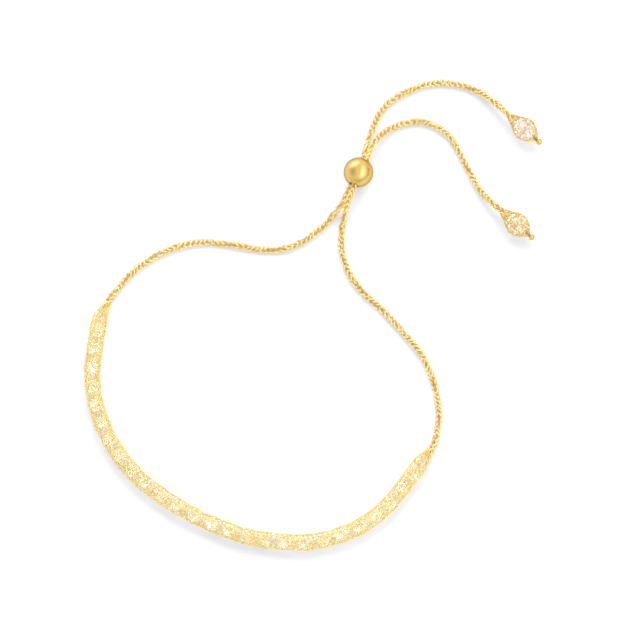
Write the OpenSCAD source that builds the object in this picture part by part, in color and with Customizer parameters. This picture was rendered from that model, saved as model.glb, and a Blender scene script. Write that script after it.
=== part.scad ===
// Bolo slider bracelet: a knitted wire sleeve over a row of clear stones, drawn down at each
// end to a cord. Both cords pass through one ball slider and end in a caged stone.
// Millimetres. It lies flat on the plane z = 0, with X and Y centred on its outline.

/* [Stones] */
// Diameter of each clear stone in the sleeve
stone_d = 2.2; // [1.8:0.1:3]
// Gap from one stone to the next
stone_gap = 1; // [0.6:0.1:2]
// Diameter of the clear stone in each end cage
end_stone_d = 3.4; // [2.8:0.1:4.4]
// Table of a cut stone, as a share of its diameter
table_share = 0.58; // [0.5:0.01:0.7]
// Crown height of a cut stone, as a share of its diameter
crown_share = 0.16; // [0.1:0.01:0.2]
// Pavilion depth of a cut stone, as a share of its diameter
pavilion_share = 0.42; // [0.36:0.01:0.46]
// Girdle of a cut stone, as a share of its diameter
girdle_share = 0.04; // [0.02:0.01:0.06]

/* [Knit] */
// Thickness of the knitted wall
knit_wall = 0.2; // [0.15:0.05:0.4]
// Room between a stone and the knit round it
stone_room = 0.1; // [0.1:0.05:0.3]
// How far the knit draws in between two stones
knit_dip = 0.15; // [0:0.05:0.3]
// Width of the strands between two windows of the net
strand_w = 0.3; // [0.2:0.05:0.5]
// Length over which the sleeve draws down to its neck
taper_len = 3; // [2.4:0.2:6]
// Length of each neck, which takes the end of a cord
neck_len = 0.8; // [0.6:0.1:2]

/* [Cord] */
// Diameter of the knitted cord
cord_d = 1.1; // [0.8:0.1:1.3]
// Clearance between pieces that fit together
fit = 0.05; // [0.05:0.01:0.08]
// Diameter of each cord where the slider squeezes it
squeezed_d = 0.8; // [0.6:0.05:1]
// Lean of the pair in the slider, with the right-hand cord higher
pair_lean = 40; // [0:5:60]
// Straight length of cord before each neck
cord_lead = 0.8; // [0.4:0.1:2]

/* [Slider] */
// Diameter of the ball slider
ball_d = 5; // [4.6:0.1:7]
// Length of the elastic grip inside the ball
grip_len = 3; // [2:0.2:3.4]
// Thinnest wall of the grip, outside its two holes
grip_wall = 0.15; // [0.1:0.05:0.3]
// Thickness of the web between the grip's two holes
grip_web = 0.1; // [0.1:0.05:0.3]

/* [Cages] */
// Length of each end cage, from neck to tip
cage_len = 6.2; // [5.6:0.1:9]
// Diameter of the ball that closes each cage
tip_bead_d = 1; // [0.7:0.1:1.6]
// Diameter of the short neck under that ball
tip_neck_d = 0.5; // [0.3:0.1:0.8]

/* [Hidden] */
sides = 8;
half_step = 180 / sides;
flat = cos(half_step);

// Where the slider lies, and the way its bore points
SLIDER_AT = [7.8, 24];
SLIDER_TURN = 66.5;
slider_way = [cos(SLIDER_TURN), sin(SLIDER_TURN), 0];

// Middle of each cage, and the way its tip points
UPPER_CAGE_AT = [35.5, 31.8];
UPPER_CAGE_TURN = -42;
LOWER_CAGE_AT = [34.2, 15.4];
LOWER_CAGE_TURN = -42;

// The sleeve's middle line, from its left end round to its right end
SLEEVE_ROUTE = [
    [-34.2, 2.2], [-35.6, -1], [-36.4, -5.6], [-36.9, -10.4], [-36.4, -15], [-34.9, -19.6],
    [-32.4, -24.2], [-29, -28.2], [-25, -31.4], [-20.6, -34.2], [-16, -36.4], [-11, -38.2],
    [-6, -39], [-1, -39.2], [4, -38.2], [8.6, -36.2], [12.6, -33], [15.8, -29], [18.4, -25.4],
    [20, -23]
];

// Each cord's middle line, in stretches. The third number is its rise from the surface,
// as a share of the way up to the slider's bore, or to the cage's middle in the END lists.
LEFT_LOOP = [
    [-32.6, 4.4, 0], [-30.6, 6.8, 0], [-28.2, 8.8, 0], [-25.2, 10.6, 0], [-22, 11.8, 0],
    [-18.8, 12.4, 0], [-15.4, 12.2, 0], [-12.2, 11.8, 0], [-8.8, 11.2, 0], [-5.4, 11.2, 0],
    [-2.2, 12.2, 0], [0.4, 13.9, 0], [2.6, 15.9, 0.1], [4.2, 17.8, 0.4], [5.4, 19.6, 0.8]
];
RIGHT_LOOP = [
    [20.9, -20.4, 0], [21.3, -17.2, 0], [20.9, -13.8, 0], [20.1, -10.6, 0], [18.8, -7.6, 0],
    [16.8, -4.8, 0], [14.4, -2, 0], [12.2, 0.4, 0], [10, 2.4, 0], [8, 4.4, 0], [6.4, 6.8, 0],
    [5.4, 9.2, 0], [4.9, 11.8, 0], [5, 14.4, 0.1], [5.4, 16.8, 0.4], [6.2, 19.3, 0.8]
];
UPPER_TAIL = [
    [9.2, 28.9, 0.8], [9.9, 31, 0.4], [10.8, 33.4, 0.1], [12.2, 35.7, 0], [14.4, 37.5, 0],
    [17.2, 38.9, 0], [20, 39.7, 0], [23, 39.8, 0], [26, 39.2, 0]
];
UPPER_END = [[28.7, 37.9, 0.2], [30.8, 36.2, 0.7]];
LOWER_TAIL = [
    [10.1, 28.5, 0.8], [11.3, 30.3, 0.4], [13.2, 31.9, 0.1], [15.6, 32.9, 0], [18.2, 33.2, 0],
    [20.8, 32.4, 0], [23, 30.7, 0], [24.7, 28.2, 0], [26, 25.5, 0], [27.3, 23, 0]
];
LOWER_END = [[28.5, 20.9, 0.2], [29.9, 19.3, 0.7]];

// Taper of the sleeve: share of its length, share of the way from neck to full width
TAPER = [[0.3, 0.3], [0.65, 0.72]];
// Rings of a cage: place from -1 at the neck to 1 at the tip, share of full width
CAGE_RINGS = [[-0.7, 0.42], [-0.36, 0.75], [0, 1], [0.38, 0.93], [0.7, 0.62]];
// Middle of the stone in its cage, on the same scale
STONE_SEAT = 0.07;
// Lean of the stones' tables, about X and about Y, taken in turn along the sleeve
STONE_LEANS = [[12, -8], [-16, 6], [6, 18], [-8, -14], [18, 4], [-4, 10], [10, -18]];
END_STONE_LEAN = [14, 10];

cord_r = cord_d / 2;
cord_z = cord_r * flat;
neck_inner = cord_r + fit / flat;
neck_outer = neck_inner + knit_wall;
neck_z = neck_outer * flat;

body_inner = (stone_d / 2 + stone_room) / flat + knit_dip / 2;
body_outer = body_inner + knit_wall;
body_z = body_outer * flat;

cage_inner = (end_stone_d / 2 + stone_room) / flat;
cage_outer = cage_inner + knit_wall;
cage_z = cage_outer * flat;
tip_inner = (tip_neck_d / 2 + fit) / flat;

ball_r = ball_d / 2;
squeezed_r = squeezed_d / 2;
grip_hole_r = squeezed_r + fit;
pair_pitch = 2 * grip_hole_r + grip_web;
grip_r = pair_pitch / 2 + grip_hole_r + grip_wall;
pocket_r = grip_r + fit;
mouth_r = pair_pitch / 2 + squeezed_r + fit;
bore_run = ball_r + fit;

// Steps that the sleeve's line is worked out in between two points of its route
FINE = 10;
sleeve_line = spline(SLEEVE_ROUTE, FINE);
sleeve_gone = travel(sleeve_line);
sleeve_len = sleeve_gone[len(sleeve_gone) - 1];
sleeve_x = [for (i = [0:len(sleeve_line) - 1]) [sleeve_gone[i], sleeve_line[i].x]];
sleeve_y = [for (i = [0:len(sleeve_line) - 1]) [sleeve_gone[i], sleeve_line[i].y]];

body_start = neck_len + taper_len;
body_len = sleeve_len - 2 * body_start;
stone_count = floor(body_len / (stone_d + stone_gap));
stone_pitch = body_len / stone_count;

STONES = [for (k = [1:stone_count]) str("sleeve_stone_", k < 10 ? "0" : "", k)];

// Geometry helpers

function unit(v) = v / norm(v);
function mix(a, b, share) = a + (b - a) * share;
function flip(face) = [for (n = [len(face) - 1:-1:0]) face[n]];
function way_of(turn) = [cos(turn), sin(turn), 0];

// A smooth curve through four points, between the middle two
function curve(a, b, c, d, t) =
    (2 * b + (c - a) * t + (2 * a - 5 * b + 4 * c - d) * t * t
        + (3 * b - a - 3 * c + d) * t * t * t) / 2;

// A smooth line through all the points, with the given steps between each two
function spline(points, steps) = let (last = len(points) - 1) concat(
    [for (i = [0:last - 1]) for (n = [0:steps - 1])
        curve(points[max(i - 1, 0)], points[i], points[i + 1], points[min(i + 2, last)],
            n / steps)],
    [points[last]]
);

// Length gone along a line at each of its points
function travel(points) = [
    for (i = 0, gone = 0; i < len(points);
        gone = gone + (i + 1 < len(points) ? norm(points[i + 1] - points[i]) : 0), i = i + 1)
        gone
];

// Point on the sleeve's middle line at a length along it, at height z
function along(s, z) = [lookup(s, sleeve_x), lookup(s, sleeve_y), z];
function way_along(s) = unit(along(s + neck_len / 4, 0) - along(s - neck_len / 4, 0));

// One corner of the ring round a middle line that points along way
function corner(middle, way, radius, j) =
    let (across = unit([way.y, -way.x, 0]), up = cross(across, way), a = (2 * j + 1) * half_step)
    middle + radius * (cos(a) * across + sin(a) * up);

function ring(middle, way, radius) = [for (j = [0:sides - 1]) corner(middle, way, radius, j)];

// The way that a line points at each of its points
function ways(line) = let (last = len(line) - 1) [
    for (i = [0:last])
        unit((i < last ? unit(line[i + 1] - line[i]) : [0, 0, 0])
            + (i > 0 ? unit(line[i] - line[i - 1]) : [0, 0, 0]))
];

// The six corners of one window: a is the ring before it, m the ring across its middle and
// z the ring after it, each as its three corners that the window spans
function window(a, m, z) =
    let (near = mix(a, m, 0.5), far = mix(z, m, 0.5), inset = strand_w / 2) [
        a[1] + inset * unit(m[1] - a[1]),
        near[2] + inset * unit(near[1] - near[2]),
        far[2] + inset * unit(far[1] - far[2]),
        z[1] + inset * unit(m[1] - z[1]),
        far[0] + inset * unit(far[1] - far[0]),
        near[0] + inset * unit(near[1] - near[0])
    ];

// A solid tube along a run of rings, each given as its middle and its radius
module tube(run) {
    line_ways = ways([for (r = run) r[0]]);
    last = len(run) - 1;
    polyhedron(
        points = [for (i = [0:last]) each ring(run[i][0], line_ways[i], run[i][1])],
        faces = concat(
            [for (i = [0:last - 1]) for (j = [0:sides - 1]) each
                let (a = i * sides + j, b = i * sides + (j + 1) % sides)
                [[a, b, b + sides], [a, b + sides, a + sides]]],
            [[for (j = [sides - 1:-1:0]) j]],
            [[for (j = [0:sides - 1]) last * sides + j]]
        )
    );
}

// A knitted wall round a line of rings, open at both ends, with rows of staggered windows.
// line and line_ways give each ring's middle and direction, outer and inner its radii.
// The windows start at the ring numbered first, and each of the rows is two rings long.
module net(line, line_ways, outer, inner, first, rows) {
    count = len(line);
    walls = [outer, inner];
    windows = [for (k = [0:rows - 1]) for (j = [k % 2:2:sides - 1]) [first + 2 * k, j]];
    window_start = 2 * count * sides;

    function at(wall, i, j) = (wall * count + i) * sides + j % sides;
    function edge(wall, w, n) = window_start + (wall * len(windows) + w) * 6 + n % 6;
    function span(wall, i, j) = [
        for (n = [j:j + 2]) corner(line[i], line_ways[i], walls[wall][i], n)
    ];
    function in_rows(i) = i >= first && i < first + 2 * rows;

    // Faces of the plain wall between two rings, seen from outside
    function plain(wall) = [
        for (i = [0:count - 2]) if (!in_rows(i)) for (j = [0:sides - 1]) each [
            [at(wall, i, j), at(wall, i, j + 1), at(wall, i + 1, j + 1)],
            [at(wall, i, j), at(wall, i + 1, j + 1), at(wall, i + 1, j)]
        ]
    ];
    // Faces of the wall round one window, seen from outside
    function round_window(wall, w) = let (
        i = windows[w][0], j = windows[w][1],
        a0 = at(wall, i, j), a1 = at(wall, i, j + 1), a2 = at(wall, i, j + 2),
        m0 = at(wall, i + 1, j), m2 = at(wall, i + 1, j + 2),
        z0 = at(wall, i + 2, j), z1 = at(wall, i + 2, j + 1), z2 = at(wall, i + 2, j + 2),
        e = [for (n = [0:5]) edge(wall, w, n)]
    ) [
        [a0, a1, e[0]], [a1, a2, e[0]], [a2, e[1], e[0]], [a2, m2, e[1]], [m2, e[2], e[1]],
        [m2, z2, e[2]], [z2, e[3], e[2]], [z2, z1, e[3]], [z1, z0, e[3]], [z0, e[4], e[3]],
        [z0, m0, e[4]], [m0, e[5], e[4]], [m0, a0, e[5]], [a0, e[0], e[5]]
    ];
    // Faces through the wall along one window's edge
    function sill(w) = [
        for (n = [0:5]) each [
            [edge(0, w, n), edge(0, w, n + 1), edge(1, w, n + 1)],
            [edge(0, w, n), edge(1, w, n + 1), edge(1, w, n)]
        ]
    ];
    // Faces of the ring-shaped wall end at ring i, turned over at the far end
    function rim(i, turned) = [
        for (j = [0:sides - 1]) each let (
            a = at(0, i, j), b = at(0, i, j + 1), c = at(1, i, j + 1), d = at(1, i, j),
            pair = [[b, a, d], [b, d, c]]
        ) turned ? [for (f = pair) flip(f)] : pair
    ];
    function wall_faces(wall) = concat(
        plain(wall), [for (w = [0:len(windows) - 1]) each round_window(wall, w)]
    );

    polyhedron(
        points = concat(
            [for (wall = walls) for (i = [0:count - 1]) each ring(line[i], line_ways[i], wall[i])],
            [for (wall = [0, 1]) for (w = windows) each
                window(span(wall, w[0], w[1]), span(wall, w[0] + 1, w[1]),
                    span(wall, w[0] + 2, w[1]))]
        ),
        faces = concat(
            wall_faces(0),
            [for (f = wall_faces(1)) flip(f)],
            [for (w = [0:len(windows) - 1]) each sill(w)],
            rim(0, false),
            rim(count - 1, true)
        )
    );
}

// A round cut stone with its girdle on the plane z = 0 and its table up
module cut_stone(d) {
    top = girdle_share * d / 2;
    low = -top;
    table_z = top + crown_share * d;
    culet_z = low - pavilion_share * d;
    function eight(r, z, turn) = [for (n = [0:7]) [r * cos(45 * n + turn), r * sin(45 * n + turn), z]];
    polyhedron(
        points = concat(
            eight(table_share * d / 2, table_z, 22.5), eight(d / 2, top, 0),
            eight(d / 2, low, 0), [[0, 0, culet_z]]
        ),
        faces = concat(
            [[for (n = [7:-1:0]) n]],
            [for (n = [0:7]) [n, (n + 1) % 8, 8 + (n + 1) % 8]],
            [for (n = [0:7]) [n, 8 + (n + 1) % 8, 8 + n]],
            [for (n = [0:7]) [8 + n, 8 + (n + 1) % 8, 16 + (n + 1) % 8, 16 + n]],
            [for (n = [0:7]) [16 + n, 16 + (n + 1) % 8, 24]]
        )
    );
}

// Rings of a cord along its route, each as its middle and its radius

function full(points) = [for (p = points) [p, cord_r]];

// Points that rise to the slider, which squeezes the cord as it draws near
function to_slider(points, side) = [
    for (p = points)
        [[p.x, p.y, mix(cord_z, in_bore(side, 0).z, p.z)], mix(cord_r, squeezed_r, p.z)]
];

function to_cage(points) = full([for (p = points) [p.x, p.y, mix(cord_z, cage_z, p.z)]]);

// Middle of the left cord (-1) or the right cord (1) in the slider, at a length along its bore
function in_bore(side, s) =
    [SLIDER_AT.x, SLIDER_AT.y, ball_r] + s * slider_way
    + side * pair_pitch / 2 * (cos(pair_lean) * [slider_way.y, -slider_way.x, 0]
        + sin(pair_lean) * [0, 0, 1]);

function bore_stretch(side) = [
    for (s = [-bore_run, bore_run]) [in_bore(side, s), squeezed_r]
];

// The end of a cord in the sleeve's neck that lies at a length along it, on its way out
function sleeve_end(s, out) = full([
    along(s - out * neck_len, neck_z),
    along(s, neck_z),
    along(s, neck_z) + out * cord_lead * way_along(s)
]);

function cage_point(place, turn, s) = [place.x, place.y, cage_z] + s * way_of(turn);

function cage_end(place, turn) = full([
    for (s = [-cord_lead, 0, neck_len]) cage_point(place, turn, s - cage_len / 2)
]);

// Sub-parts

// The sleeve's rings as rows of place along it, widening from neck to body, and dip
function taper_rings() = concat(
    [[0, 0, 0], [neck_len, 0, 0]],
    [for (t = TAPER) [neck_len + t[0] * taper_len, t[1], 0]]
);
function body_rings() = [
    for (k = [0:2 * stone_count]) [body_start + k * stone_pitch / 2, 1, k % 2 == 0 ? 1 : 0]
];
function far_rings(rows) = [for (r = flip(rows)) [sleeve_len - r[0], r[1], r[2]]];

module sleeve() {
    rings = concat(taper_rings(), body_rings(), far_rings(taper_rings()));
    color("#F0D68C") net(
        [for (r = rings) along(r[0], mix(neck_z, body_z, r[1]))],
        [for (r = rings) way_along(r[0])],
        [for (r = rings) mix(neck_outer, body_outer, r[1]) - r[2] * knit_dip],
        [for (r = rings) mix(neck_inner, body_inner, r[1]) - r[2] * knit_dip],
        len(taper_rings()),
        stone_count
    );
}

module sleeve_stone(k) {
    s = body_start + (k + 0.5) * stone_pitch;
    lean = STONE_LEANS[k % len(STONE_LEANS)];
    color("#F4F2F6") translate(along(s, body_z)) rotate([lean[0], lean[1], 11 * k])
        cut_stone(stone_d);
}

module cord_left() {
    color("#E3C268") tube(concat(
        sleeve_end(0, -1),
        to_slider(LEFT_LOOP, -1),
        bore_stretch(-1),
        to_slider(UPPER_TAIL, -1),
        to_cage(UPPER_END),
        cage_end(UPPER_CAGE_AT, UPPER_CAGE_TURN)
    ));
}

module cord_right() {
    color("#E3C268") tube(concat(
        sleeve_end(sleeve_len, 1),
        to_slider(RIGHT_LOOP, 1),
        bore_stretch(1),
        to_slider(LOWER_TAIL, 1),
        to_cage(LOWER_END),
        cage_end(LOWER_CAGE_AT, LOWER_CAGE_TURN)
    ));
}

module slider_ball() {
    color("#DDB85A") translate([SLIDER_AT.x, SLIDER_AT.y, ball_r]) rotate([0, 90, SLIDER_TURN])
        difference() {
            sphere(d = ball_d, $fn = 64);
            cylinder(r = mouth_r, h = 2 * ball_d, center = true, $fn = 48);
            cylinder(r = pocket_r, h = grip_len + 2 * fit, center = true, $fn = 48);
        }
}

module slider_grip() {
    color("#3A342C") translate([SLIDER_AT.x, SLIDER_AT.y, ball_r]) rotate([0, 0, SLIDER_TURN])
        rotate([-pair_lean, 0, 0]) rotate([0, 90, 0]) difference() {
            cylinder(r = grip_r, h = grip_len, center = true, $fn = 48);
            for (side = [-1, 1]) translate([0, side * pair_pitch / 2, 0])
                cylinder(r = grip_hole_r, h = 2 * grip_len, center = true, $fn = 32);
        }
}

module cage(place, turn) {
    way = way_of(turn);
    necks = [[-cage_len / 2, neck_inner], [-cage_len / 2 + neck_len, neck_inner]];
    tips = [[cage_len / 2 - neck_len, tip_inner], [cage_len / 2, tip_inner]];
    middle = [for (r = CAGE_RINGS) [r[0] * cage_len / 2, r[1] * cage_inner]];
    rings = concat(necks, middle, tips);
    color("#E9CC80") net(
        [for (r = rings) cage_point(place, turn, r[0])],
        [for (r = rings) way],
        [for (r = rings) r[1] + knit_wall],
        [for (r = rings) r[1]],
        len(necks),
        2
    );
}

module end_stone(place, turn) {
    color("#F4F2F6") translate(cage_point(place, turn, STONE_SEAT * cage_len / 2))
        rotate([END_STONE_LEAN[0], END_STONE_LEAN[1], turn]) cut_stone(end_stone_d);
}

module tip_bead(place, turn) {
    color("#D9B04C") translate(cage_point(place, turn, cage_len / 2 + tip_bead_d / 2 + fit))
        rotate([0, 0, turn]) {
            sphere(d = tip_bead_d, $fn = 32);
            rotate([0, -90, 0]) cylinder(d = tip_neck_d, h = tip_bead_d / 2 + fit + neck_len, $fn = 24);
        }
}

sleeve();
cord_left();
cord_right();
slider_ball();
slider_grip();
cage(UPPER_CAGE_AT, UPPER_CAGE_TURN);  // cage_upper
cage(LOWER_CAGE_AT, LOWER_CAGE_TURN);  // cage_lower
end_stone(UPPER_CAGE_AT, UPPER_CAGE_TURN);  // end_stone_upper
end_stone(LOWER_CAGE_AT, LOWER_CAGE_TURN);  // end_stone_lower
tip_bead(UPPER_CAGE_AT, UPPER_CAGE_TURN);  // tip_bead_upper
tip_bead(LOWER_CAGE_AT, LOWER_CAGE_TURN);  // tip_bead_lower
for (k = [0:stone_count - 1]) sleeve_stone(k);
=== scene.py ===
"""Bolo slider bracelet: knitted gold wire over clear stones, drawn down to two cords.

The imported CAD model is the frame. Every piece here is in metres, in that frame. The routes are
those of the CAD source.
"""
import logging
import math
from dataclasses import dataclass, field, replace
from enum import Enum
from typing import Callable, ClassVar, Sequence

import bmesh
import bpy
from mathutils import Euler, Matrix, Vector, noise


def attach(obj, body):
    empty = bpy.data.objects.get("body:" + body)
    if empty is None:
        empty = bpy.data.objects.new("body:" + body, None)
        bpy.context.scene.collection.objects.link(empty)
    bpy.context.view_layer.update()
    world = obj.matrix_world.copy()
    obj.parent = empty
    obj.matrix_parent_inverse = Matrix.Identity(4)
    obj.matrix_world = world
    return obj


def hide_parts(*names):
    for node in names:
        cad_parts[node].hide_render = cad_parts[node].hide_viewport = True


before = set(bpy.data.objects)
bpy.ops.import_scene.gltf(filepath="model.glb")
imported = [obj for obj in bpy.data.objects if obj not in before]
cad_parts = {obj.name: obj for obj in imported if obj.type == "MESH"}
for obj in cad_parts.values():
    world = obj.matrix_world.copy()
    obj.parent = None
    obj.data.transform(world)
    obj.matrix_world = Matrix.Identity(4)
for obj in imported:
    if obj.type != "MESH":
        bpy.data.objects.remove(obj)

log = logging.getLogger("bolo_bracelet")

MM = 0.001
# Corners nearer to each other than this are one
WELD = 1e-7
# Sets the knit's unevenness, so that every run gives the same
SEED = 3
FULL_TURN = 2 * math.pi
# Lean that lays a piece that was made upright down along X
LAID = (0.0, 90.0)

Route = Sequence[Sequence[float]]
Colour = tuple[float, float, float]

# Middle line of the sleeve, from its left end round to its right end, in mm.
SLEEVE_ROUTE: Route = (
    (-34.2, 2.2), (-35.6, -1), (-36.4, -5.6), (-36.9, -10.4), (-36.4, -15), (-34.9, -19.6),
    (-32.4, -24.2), (-29, -28.2), (-25, -31.4), (-20.6, -34.2), (-16, -36.4), (-11, -38.2),
    (-6, -39), (-1, -39.2), (4, -38.2), (8.6, -36.2), (12.6, -33), (15.8, -29), (18.4, -25.4),
    (20, -23),
)
# Cord routes in mm. The third number is the rise, as a share of the way up to the slider's
# bore, or to the middle of the cage in the lists named END.
LEFT_LOOP: Route = (
    (-32.6, 4.4, 0), (-30.6, 6.8, 0), (-28.2, 8.8, 0), (-25.2, 10.6, 0), (-22, 11.8, 0),
    (-18.8, 12.4, 0), (-15.4, 12.2, 0), (-12.2, 11.8, 0), (-8.8, 11.2, 0), (-5.4, 11.2, 0),
    (-2.2, 12.2, 0), (0.4, 13.9, 0), (2.6, 15.9, 0.1), (4.2, 17.8, 0.4), (5.4, 19.6, 0.8),
)
RIGHT_LOOP: Route = (
    (20.9, -20.4, 0), (21.3, -17.2, 0), (20.9, -13.8, 0), (20.1, -10.6, 0), (18.8, -7.6, 0),
    (16.8, -4.8, 0), (14.4, -2, 0), (12.2, 0.4, 0), (10, 2.4, 0), (8, 4.4, 0), (6.4, 6.8, 0),
    (5.4, 9.2, 0), (4.9, 11.8, 0), (5, 14.4, 0.1), (5.4, 16.8, 0.4), (6.2, 19.3, 0.8),
)
UPPER_TAIL: Route = (
    (9.2, 28.9, 0.8), (9.9, 31, 0.4), (10.8, 33.4, 0.1), (12.2, 35.7, 0), (14.4, 37.5, 0),
    (17.2, 38.9, 0), (20, 39.7, 0), (23, 39.8, 0), (26, 39.2, 0),
)
UPPER_END: Route = ((28.7, 37.9, 0.2), (30.8, 36.2, 0.7))
LOWER_TAIL: Route = (
    (10.1, 28.5, 0.8), (11.3, 30.3, 0.4), (13.2, 31.9, 0.1), (15.6, 32.9, 0), (18.2, 33.2, 0),
    (20.8, 32.4, 0), (23, 30.7, 0), (24.7, 28.2, 0), (26, 25.5, 0), (27.3, 23, 0),
)
LOWER_END: Route = ((28.5, 20.9, 0.2), (29.9, 19.3, 0.7))


class Slot(Enum):
    """The record's material slots."""

    KNIT = "knitted_gold"
    POLISHED = "polished_gold"
    STONE = "clear_stone"
    RUBBER = "grip_rubber"


class Side(Enum):
    """Which of the two cords, and its side of the slider's bore."""

    LEFT = -1
    RIGHT = 1


# ---- Lines ----------------------------------------------------------------------------------


@dataclass(frozen=True)
class Stand:
    """One place on a line.

    Attributes:
        point: The place itself.
        way: The direction that the line runs in.
        across: The level direction to the right of it.
        up: The direction square to both.
    """

    point: Vector
    way: Vector
    across: Vector
    up: Vector

    def round(self, radius: float, turn: float) -> Vector:
        """Point at a radius from the line, at a turn in radians from its right side."""
        return self.point + radius * (math.cos(turn) * self.across + math.sin(turn) * self.up)


class Line:
    """A line of fine steps that knows the length gone along it."""

    def __init__(self, points: Sequence[Vector], steps: int = 10) -> None:
        """Lays a smooth line through the points.

        Args:
            points: The points, of three numbers, or four where a radius goes with each.
            steps: Fine steps between each two points.
        """
        last = len(points) - 1
        self.points: list[Vector] = []
        for i in range(last):
            a, b = points[max(i - 1, 0)], points[i]
            c, d = points[i + 1], points[min(i + 2, last)]
            self.points += [self._curve(a, b, c, d, n / steps) for n in range(steps)]
        self.points.append(points[last])
        self.gone = [0.0]
        for a, b in zip(self.points, self.points[1:]):
            self.gone.append(self.gone[-1] + (b.xyz - a.xyz).length)

    @staticmethod
    def _curve(a: Vector, b: Vector, c: Vector, d: Vector, t: float) -> Vector:
        """Point at share t from b to c, on the smooth curve through all four."""
        return (2 * b + (c - a) * t + (2 * a - 5 * b + 4 * c - d) * t * t
                + (3 * b - a - 3 * c + d) * t ** 3) / 2

    @property
    def length(self) -> float:
        """Length of the whole line."""
        return self.gone[-1]

    def at(self, s: float) -> Vector:
        """Point at a length along the line, straight on past its ends.

        Args:
            s: Length along the line.

        Returns:
            The point, with its radius where the line has them.
        """
        i, high = 0, len(self.gone) - 2
        while i < high:
            middle = (i + high + 1) // 2
            if self.gone[middle] <= s:
                i = middle
            else:
                high = middle - 1
        a, b = self.points[i], self.points[i + 1]
        return a + (b - a) * ((s - self.gone[i]) / (self.gone[i + 1] - self.gone[i]))

    def stand(self, s: float, reach: float = 0.4 * MM) -> Stand:
        """Place at a length along the line, with its directions.

        Args:
            s: Length along the line.
            reach: How far to each side the direction is taken from.

        Returns:
            The place.
        """
        way = (self.at(s + reach).xyz - self.at(s - reach).xyz).normalized()
        across = Vector((way.y, -way.x, 0)).normalized()
        return Stand(self.at(s).xyz, way, across, across.cross(way))


def share_between(s: float, start: float, end: float) -> float:
    """Smooth share, from 0 at start to 1 at end."""
    t = min(max((s - start) / (end - start), 0.0), 1.0)
    return t * t * (3 - 2 * t)


def mix(a: float, b: float, share: float) -> float:
    """Number at a share of the way from a to b."""
    return a + (b - a) * share


def towards(azimuth: float, height: float) -> Vector:
    """Direction from two angles.

    Args:
        azimuth: Degrees from +X, turning towards +Y.
        height: Degrees above the floor.

    Returns:
        The direction.
    """
    a, h = math.radians(azimuth), math.radians(height)
    return Vector((math.cos(h) * math.cos(a), math.cos(h) * math.sin(a), math.sin(h)))


def placed(at: Sequence[float], turn: float, lean: Sequence[float] = (0.0, 0.0)) -> Matrix:
    """Place at a point, leant about X and then Y, and then turned about Z.

    Args:
        at: The point.
        turn: Degrees about Z.
        lean: Degrees about X, and about Y.

    Returns:
        The place.
    """
    about_x, about_y = (Matrix.Rotation(math.radians(a), 4, axis) for a, axis in zip(lean, "XY"))
    return Matrix.Translation(at) @ Matrix.Rotation(math.radians(turn), 4, "Z") @ about_y @ about_x


# ---- Finishes -------------------------------------------------------------------------------


@dataclass(frozen=True)
class Grain:
    """Noise in a piece's own place.

    Attributes:
        waves: Waves to a metre.
        layers: Finer layers on top of them.
    """

    waves: float
    layers: float = 2


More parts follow.
